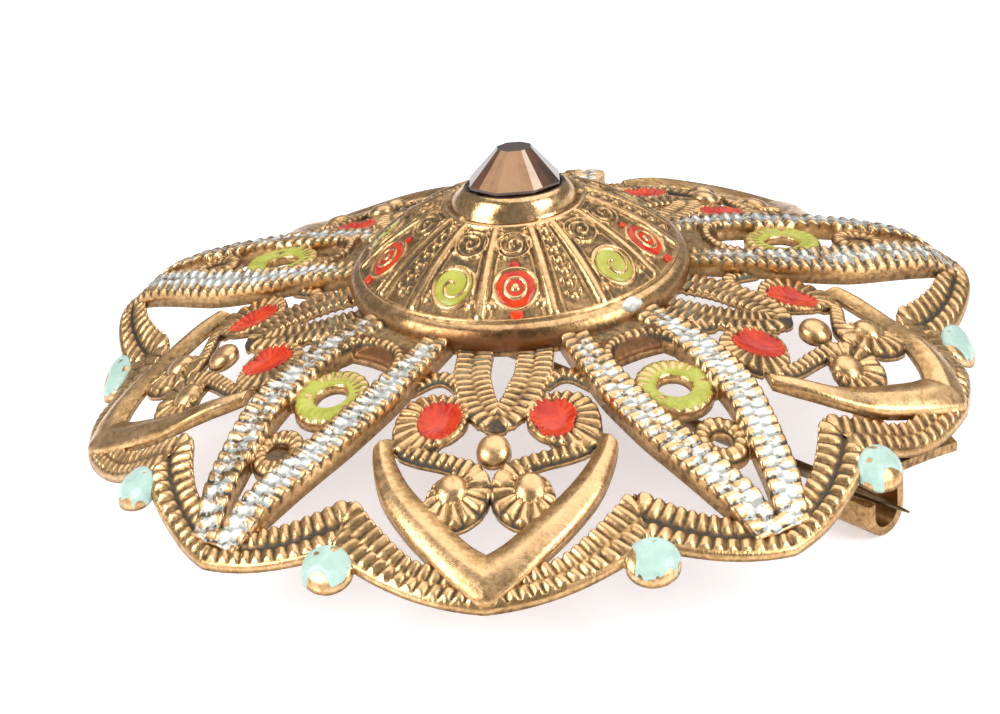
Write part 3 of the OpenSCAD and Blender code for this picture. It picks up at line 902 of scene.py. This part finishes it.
def boss_relief(turn, rho):
    """Height of the boss's relief over its panel."""
    a = (turn + KITE_TURN) % LOBE_STEP - KITE_TURN
    rise = np.zeros(np.broadcast(turn, rho).shape)

    def local(centre, at):
        return np.radians(a - centre) * rho, (at - rho) * PANEL_SLOPE

    def lift(height, distance, width):
        nonlocal rise
        rise = np.maximum(rise, height * arch(distance / width))

    inner = smooth(SEAT_R + 0.15, SEAT_R + 0.5, rho) * smooth(PANEL_R - 0.1, PANEL_R - 0.3, rho)
    for centre, sides in ((RIB_TURNS[0], (1,)), (RIB_TURNS[1], (-1, 1)), (RIB_TURNS[2], (-1, 1)),
                          (RIB_TURNS[0] + LOBE_STEP, (-1,))):
        u, _ = local(centre, 0)
        lift(0.26 * inner, u, 0.24 + 0.012 * rho)
        for side in sides:
            lift(0.13 * inner, u - side * (0.3 + 0.035 * rho), 0.1)
    lift(0.16, rho - PANEL_R + 0.12, 0.12)
    lift(0.22, rho - SEAT_R - 0.25, 0.22)
    for centre, sense in ((GREEN_TURN, 1), (RED_TURN, -1)):
        u, v = local(centre, SPIRAL_AT)
        gap, d = spiral(u, v, 1.2, 1.3, sense)
        if centre == RED_TURN:
            gap = np.minimum(np.abs(d - 0.66), np.maximum(d - 0.16, 0))
        rise = np.where(d < SCROLL_R, 0.12 * arch(d / 1.45) + 0.17 * arch(gap / 0.13), rise)
        lift(0.22, d - SCROLL_R, 0.14)
        u, v = local(centre, SMALL_SPIRAL_AT)
        gap, d = spiral(u, v, 0.85, 1.6, sense)
        lift(0.24 * (d < 0.9), gap, 0.11)
        lift(0.2, d - 1.06, 0.1)
        for side in (-1, 1):
            for place, aside, oval, height, width in (
                    (SPIRAL_AT - 2.05, 0.8625, 0.8, 0.2, 0.26),
                    (SPIRAL_AT - 3.6, 0.713, 0.8, 0.2, 0.26),
                    (PANEL_R - 0.95, 1.55, 1.2, 0.18, 0.3)):
                u, v = local(centre, place)
                lift(height, np.hypot((u - side * aside) / oval, v), width)
    u, v = local(LEAF_TURN, PANEL_R - 0.9)
    width = 0.22 + 0.055 * rho
    row = np.floor(v / LEAF_STEP + 0.5)
    used = (v > -0.45) & (v < 6.3)
    v = v - row * LEAF_STEP
    lift(0.25 * used, np.hypot(u / np.where(row % 2 == 0, 1.0, 0.75), v), 0.3 + 0.02 * width)
    u = np.abs(u)
    lift(0.2 * used, np.hypot((u - 0.62 * width) / 0.6, v - 0.3 - 0.3 * (u - 0.5 * width)), 0.28)
    return rise


def build_boss():
    profile, wall_rows, panel_rows = boss_profile()
    around = 720
    a = circle(around)[None]
    turn = np.degrees(a)
    rho, z = profile[:, :1], profile[:, 1:]
    tangent = np.gradient(profile, axis=0)
    tangent /= np.linalg.norm(tangent, axis=1)[:, None]
    out = np.stack([tangent[:, 1], -tangent[:, 0]], 1)
    rows = np.arange(len(profile))
    on_panel = (rows >= wall_rows - 1) & (rows <= wall_rows + panel_rows + 1)
    rise = boss_relief(turn, rho) * on_panel[:, None]
    dent = 0.035 * mottle(a * BOSS_R, z + 0 * a, 3.0, 61)
    rise = rise + dent * ((rows < wall_rows) & (rows > 1))[:, None]
    points = spin_points(rho + out[:, :1] * rise, HUB_Z + z + out[:, 1:] * rise, a)
    bright = np.clip(rise / 0.2, 0, 1) * 0.56 + 0.36
    steep = np.abs(np.gradient(rise, axis=1)) * around / 60 / rho
    bright = bright - np.clip(1.6 * steep, 0, 0.4)
    on_wall = ((rows < wall_rows) & (rows > 0))[:, None]
    # The wall's brightness mark runs from dark at its foot to light at its top.
    bright = np.where(on_wall, 0.38 + 0.45 * smooth(0.7, 1.5, z), bright)
    green = np.where(on_wall, 0.6 * smooth(0.4, 0.0, z), 0.1) + 0 * a
    # Painted shade: the wall is darkened most where it faces the camera, with a mottled stain all
    # round, and this fades out towards the wall's top.
    from_front = (turn + 180) % 360 - 180
    front_shade_and_stain = 0.85 * np.exp(-((from_front - 2) / 26) ** 2) + 0.25
    front_shade_and_stain = front_shade_and_stain + 0.3 * mottle(a * BOSS_R, 3 * z, 5.0, 67)
    stain = np.where(on_wall, np.clip(front_shade_and_stain, 0, 0.9) * smooth(1.65, 1.2, z), 0.0)
    marks = plain_marks(bright.size, relief=bright.ravel(), green=green.ravel(), stain=stain.ravel())
    make_piece("boss", points, spun_faces(len(profile), around), marks, BOSS_BRASS, "boss_brass",
               "boss_cap")


def boss_film(centre, below, size, seed):
    """Points of a round film of enamel on the boss, below a scroll's middle by some distance."""
    radii = np.linspace(0, 1.0, FILM_RINGS)[:, None]
    phi = circle(FILM_AROUND)
    wob = 1 + 0.05 * mottle(np.cos(phi) * 3, np.sin(phi) * 3, 1.5, seed)
    u = radii * size * wob * np.cos(phi)
    v = radii * size * wob * np.sin(phi) - below
    rho = SPIRAL_AT - v / PANEL_SLOPE
    panel = through(PANEL_LINE, 28)[::-1]
    z = HUB_Z + np.interp(rho, panel[:, 0], panel[:, 1])
    a = np.radians(centre) + u / rho
    film = 0.205 - 0.08 * radii ** 2 + 0.02 * mottle(u, v, 0.9, seed + 20)
    film = film - 0.12 * smooth(0.86, 1.0, radii)
    top = spin_points(rho + OUT_R * film, z + OUT_Z * film, a)
    low = spin_points(rho[-1] - OUT_R * FILM_DEPTH, z[-1] - OUT_Z * FILM_DEPTH, a[-1])
    return np.concatenate([top[:1], top[FILM_AROUND:], low, low.mean(0, keepdims=True)])


def build_boss_enamel(label, centre, films, material, slot, node, seed):
    """Enamel laid in the big scrolls, lower than their brass lines."""
    for i in range(LOBES):
        points = [boss_film(centre + i * LOBE_STEP, below, size, seed + i) for below, size in films]
        faces = [face + k * len(points[0]) for k in range(len(films))
                 for face in capped_faces(FILM_RINGS, FILM_AROUND)]
        make_piece(f"{label}_{i + 1}", np.concatenate(points), faces, {}, material, slot, node)


def blob(name, centre, radii, turn, material, slot, node, seed):
    """A small uneven lump, with radii across, outwards and up, set at a turn."""
    rows, around = 7, 16
    polar = np.linspace(0, math.pi, rows)[:, None]
    phi = circle(around)
    uneven = 1 + 0.16 * mottle(2 * np.cos(phi) * np.sin(polar), 2 * np.sin(phi), 1.6, seed)
    grid = np.stack([np.sin(polar) * np.cos(phi) * uneven, np.sin(polar) * np.sin(phi) * uneven,
                     np.cos(polar) + 0 * phi], -1) * radii
    grid = turned(grid.reshape(-1, 3), turn - 180)
    points = np.concatenate([grid[:1], grid[around:1 - around]]) + centre
    make_piece(name, points, capped_faces(rows - 2, around), {}, material, slot, node)


def on_lobe(turn, x, y, rise):
    """A place over the plate, from a lobe's turn and the place in its own frame."""
    z = HUB_Z + dome_z(math.hypot(x, y)) + rise
    return turned(np.array([[x, y, z]]), turn)[0]


def paint(name, colour, shade):
    """Dry, uneven paint or dirt."""
    m = Shader(name, Roughness=0.5)
    cloud = m.noise(0.4, 4.0, 0.6)
    m.set("Base Color", m.blend(m.span(cloud, 0.35, 0.65), shade, colour))
    m.bump(cloud, 0.4, 0.05)
    return m.material


LUMP_TURN = 45
blob("silver_lump", turned(np.array([[0, BOSS_R - 0.25, HUB_Z + 1.35]]), LUMP_TURN)[0],
     (0.75, 0.35, 0.5), LUMP_TURN, paint("silver_paint", SILVER_PAINT, GREY_PAINT), None,
     "boss_cap", 91)
blob("red_speck", on_lobe(KITE_TURN, 4.25 * K, 17.6 * K, 0.62), (0.2, 0.32, 0.3), KITE_TURN,
     RED, "red_enamel", "heart_enamel", 93)
blob("grime_plug", on_lobe(-KITE_TURN, 0, SMALL_RING[1], -0.02), (0.8, 0.8, 0.16), -KITE_TURN,
     paint("packed_grime", (0.16, 0.085, 0.035), (0.07, 0.04, 0.02)), None, "filigree_plate", 95)
build_boss()
build_boss_enamel("green_scroll", GREEN_TURN, [(0, 1.32)], GREEN, "green_enamel",
                  "boss_green_enamel", 70)
build_boss_enamel("red_scroll", RED_TURN, [(0, 1.3), (1.66, 0.42), (-1.62, 0.3)], RED,
                  "red_enamel", "boss_red_enamel", 80)


# ---- Cup and stone ----

GIRDLE_Z = HUB_Z + 6.7
STONE_R = (stone_high[0] - stone_low[0]) / 2
SEAT_Z = HUB_Z + BOSS_H
LEAN = math.radians(5.5)


def leaned(points):
    """The stone sits a little crooked: it leans back about its girdle's middle, and to +X."""
    p = np.array(points, float)
    part = smooth(SEAT_Z + 0.1, SEAT_Z + 0.9, p[:, 2])
    turn = LEAN * part
    y, z = p[:, 1].copy(), p[:, 2] - GIRDLE_Z
    p[:, 1] = y * np.cos(turn) + z * np.sin(turn)
    p[:, 2] = GIRDLE_Z - y * np.sin(turn) + z * np.cos(turn)
    p[:, 0] += part * (0.15 + 0.06 * np.maximum(z, 0))
    return p


def build_cup():
    """The collar around the stone, and its tubular rivet down to the flare under the washer."""
    collar = through([(4.12, SEAT_Z - 0.12), (4.02, SEAT_Z + 0.12), (3.85, SEAT_Z + 0.42),
                      (3.5, SEAT_Z + 0.86), (3.22, GIRDLE_Z - 0.12), (3.02, GIRDLE_Z - 0.14)], 4)
    foot = washer_low[2]
    inside = [(2.9, GIRDLE_Z - 0.4), (0.95, GIRDLE_Z - 2.1), (0.8, GIRDLE_Z - 2.6)]
    rivet = [(0.8, foot - 0.12), (0.92, foot - 0.24), (1.3, foot - 0.3), (1.85, foot - 0.27),
             (2.1, foot - 0.12), (2.06, foot - 0.02), (1.4, foot)]
    outside = [(1.4, GIRDLE_Z - 3.3), (2.6, GIRDLE_Z - 2.6), (2.62, SEAT_Z - 0.3)]
    profile = np.vstack([collar, inside, rivet, outside])
    points = leaned(spun(profile, AROUND))
    shade = np.repeat((0.1, 0.85, 0.05, 0.6, 0.05),
                      (3, len(collar) - 8, 5 + len(inside), len(rivet), len(outside)))
    marks = plain_marks(len(points), relief=np.repeat(shade, AROUND),
                        green=np.repeat(0.3 * (shade < 0.2), AROUND))
    make_piece("cup", points, spun_faces(len(profile), AROUND), marks, CUP_BRASS, "cup_brass",
               "stone_cup")


build_cup()

FACETS = 8
FIRST_FACET = -16
GEM_POINTS = 3 * FACETS
TABLE_R, CULET_R = 1.15, 0.15
CROWN_LOW = GIRDLE_Z + 0.16
# Each face's tint: the table's tint and the crown facets' slices below are painted reflections.
PAINTED_TABLE_REFLECTION, GIRDLE_TINT, PAVILION_TINT, CULET_TINT = 0.12, 0.2, 0.3, 0.2
PAINTED_FACET_REFLECTIONS = ((0.62, 0.66, 0.6), (0.98, 0.26, 0.16), (0.10, 0.34, 0.12), (0.35, 0.15, 0.5),
               (0.2, 0.6, 0.3), (0.45, 0.2, 0.35), (0.12, 0.3, 0.15), (0.26, 0.62, 0.56))


def gem_ring(radius, z):
    """A ring of points on the straight sides between the stone's corners."""
    corner = math.pi / FACETS
    r = radius * math.cos(corner) / np.cos(circle(GEM_POINTS) % (2 * corner) - corner)
    return spin_points(r, z, circle(GEM_POINTS) + math.radians(FIRST_FACET))


def build_stone():
    """A chaton: a flat table, eight crown facets and eight pavilion facets, with a thin girdle.
    Each crown facet is in slices, with painted bright and dark reflections standing in for those of
    the foil below."""
    rings = [gem_ring(CULET_R, GIRDLE_Z - 2.2), gem_ring(STONE_R, GIRDLE_Z),
             gem_ring(STONE_R, CROWN_LOW), gem_ring(TABLE_R, stone_high[2] + 0.1)]
    points = leaned(np.concatenate(rings))
    n = np.arange(GEM_POINTS)
    m = (n + 1) % GEM_POINTS
    faces = []
    for low in (k * GEM_POINTS for k in range(len(rings) - 1)):
        top = low + GEM_POINTS
        faces += np.stack([low + n, low + m, top + m, top + n], 1).tolist()
    faces += [(top + n).tolist(), n[::-1].tolist()]
    tones_and_painted_reflections = [PAVILION_TINT] * GEM_POINTS + [GIRDLE_TINT] * GEM_POINTS
    tones_and_painted_reflections += [tint for facet in PAINTED_FACET_REFLECTIONS for tint in facet]
    tones_and_painted_reflections += [PAINTED_TABLE_REFLECTION, CULET_TINT]
    mesh = bpy.data.meshes.new("gem")
    mesh.from_pydata([tuple(p * MM) for p in points], [], faces)
    layer = mesh.attributes.new("tint", "FLOAT", "FACE")
    layer.data.foreach_set("value", tones_and_painted_reflections)
    mesh.update()
    mesh.materials.append(topaz_glass())
    gem = add_object("gem", mesh)
    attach(gem, "brooch")
    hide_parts("stone")


def topaz_glass():
    m = Shader("smoky_topaz", Roughness=0.03, IOR=1.54, Transmission_Weight=0.25,
               Coat_Weight=0.35, Coat_Roughness=0.02)
    m.set("Specular IOR Level", 0.3)
    haze = m.noise(1.1, 3.0, 0.55, 0.4)
    # The tint attribute gives each face's brightness: painted reflections on the crown facets and the
    # table.
    tint = m.shaken(m.mark("tint"), haze, 0.07)
    colour = m.blend(m.span(tint, 0.0, 0.35), (0.045, 0.035, 0.035), (0.16, 0.075, 0.04))
    colour = m.blend(m.span(tint, 0.3, 0.7), colour, (0.52, 0.30, 0.165))
    colour = m.blend(m.span(tint, 0.7, 1.0), colour, (0.82, 0.64, 0.48))
    m.set("Base Color", colour)
    m.set("Roughness", m.span(m.noise(0.25, 4.0, 0.7), 0.5, 0.8, 0.02, 0.08))
    return m.material


def foil():
    m = Shader("mirror_foil", Metallic=1.0, Roughness=0.12)
    cloud = m.noise(0.8, 3.0, 0.6)
    m.set("Base Color", m.blend(m.span(cloud, 0.35, 0.7), (0.86, 0.74, 0.62), (0.62, 0.44, 0.32)))
    m.set("Roughness", m.span(cloud, 0.3, 0.7, 0.08, 0.2))
    return m.material


build_stone()

# ---- Carried-over CAD parts ----


def steel_brown():
    """The pin stem's plated wire, tarnished to a dark olive brown."""
    m = Shader("pin_wire", Metallic=1.0, Roughness=0.3)
    cloud = m.noise(2.4, 4.0, 0.65, 0.3)
    m.set("Base Color", m.blend(m.span(cloud, 0.35, 0.65), (0.12, 0.085, 0.05), (0.36, 0.28, 0.17)))
    m.set("Roughness", m.span(cloud, 0.3, 0.7, 0.28, 0.45))
    m.bump(m.noise(0.2, 3.0, 0.6), 0.25, 0.03)
    return m.material


FITTING_BRASS = brass("fitting_brass", shine=0.4, marked=False, dark=0.12)
for node, material in (("foil_backing", foil()), ("back_washer", FITTING_BRASS),
                       ("hinge_bracket", FITTING_BRASS), ("hinge_rivet", FITTING_BRASS),
                       ("catch", FITTING_BRASS), ("pin_stem", steel_brown())):
    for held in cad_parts[node].material_slots:
        held.material = material

# ---- Floor, lights and camera ----

low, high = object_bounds()
middle = (low + high) / 2


def build_floor():
    mesh = bpy.data.meshes.new("floor")
    reach = 2.5
    z = low.z - 0.00002
    mesh.from_pydata([(-reach, -reach, z), (reach, -reach, z), (reach, reach, z),
                      (-reach, reach, z)], [], [(0, 1, 2, 3)])
    m = Shader("studio_table", Roughness=0.22, Emission_Strength=0.5)
    m.set("Emission Color", (0.97, 0.96, 1.0, 1.0))
    soft = m.noise(900, 2.0)
    m.set("Base Color", m.blend(m.span(soft, 0.3, 0.7), (0.83, 0.83, 0.85), (0.86, 0.86, 0.87)))
    mesh.materials.append(m.material)
    add_object("floor", mesh)


def add_lamp(name, kind, power, way, **settings):
    """A lamp that shines along the given way."""
    data = bpy.data.lights.new(name, kind)
    data.energy = power
    for setting, value in settings.items():
        setattr(data, setting, value)
    lamp = add_object(name, data)
    lamp.rotation_euler = way.to_track_quat("-Z", "Y").to_euler()
    return lamp


def add_soft_box(name, place, width, height, power):
    """A rectangle of light that faces the middle of the brooch."""
    place = Vector(place)
    lamp = add_lamp(name, "AREA", power, middle - place, shape="RECTANGLE", size=width,
                    size_y=height)
    lamp.location = place


def build_world():
    world = bpy.data.worlds.new("studio")
    world.use_nodes = True
    back = world.node_tree.nodes["Background"]
    back.inputs["Color"].default_value = (0.97, 0.98, 1.0, 1.0)
    back.inputs["Strength"].default_value = 0.3
    bpy.context.scene.world = world


AZIMUTH, ELEVATION, ROLL = np.radians((7.914, 26.417, 5.478))
DISTANCE = 0.15835
AIM = Vector((-0.001823, -0.000253, 0.005877))


def build_camera():
    data = bpy.data.cameras.new("camera")
    data.sensor_width = 36
    data.lens = 86.24
    data.clip_start = 0.005
    camera = add_object("camera", data)
    turn = Matrix.Rotation(AZIMUTH, 4, "Z") @ Matrix.Rotation(math.pi / 2 - ELEVATION, 4, "X")
    turn = turn @ Matrix.Rotation(-ROLL, 4, "Z")
    camera.matrix_world = Matrix.Translation(AIM) @ turn @ Matrix.Translation((0, 0, DISTANCE))
    bpy.context.scene.camera = camera


build_floor()
build_world()
add_lamp("sky_panel", "SUN", 1.6, Vector((-0.15, -0.35, -1.0)), angle=math.radians(75))
add_soft_box("left_box", (-0.36, -0.24, 0.26), 0.3, 0.3, 2.1)
add_soft_box("right_box", (0.40, -0.18, 0.24), 0.24, 0.3, 1.8)
build_camera()
bpy.context.scene.view_settings.view_transform = "Standard"
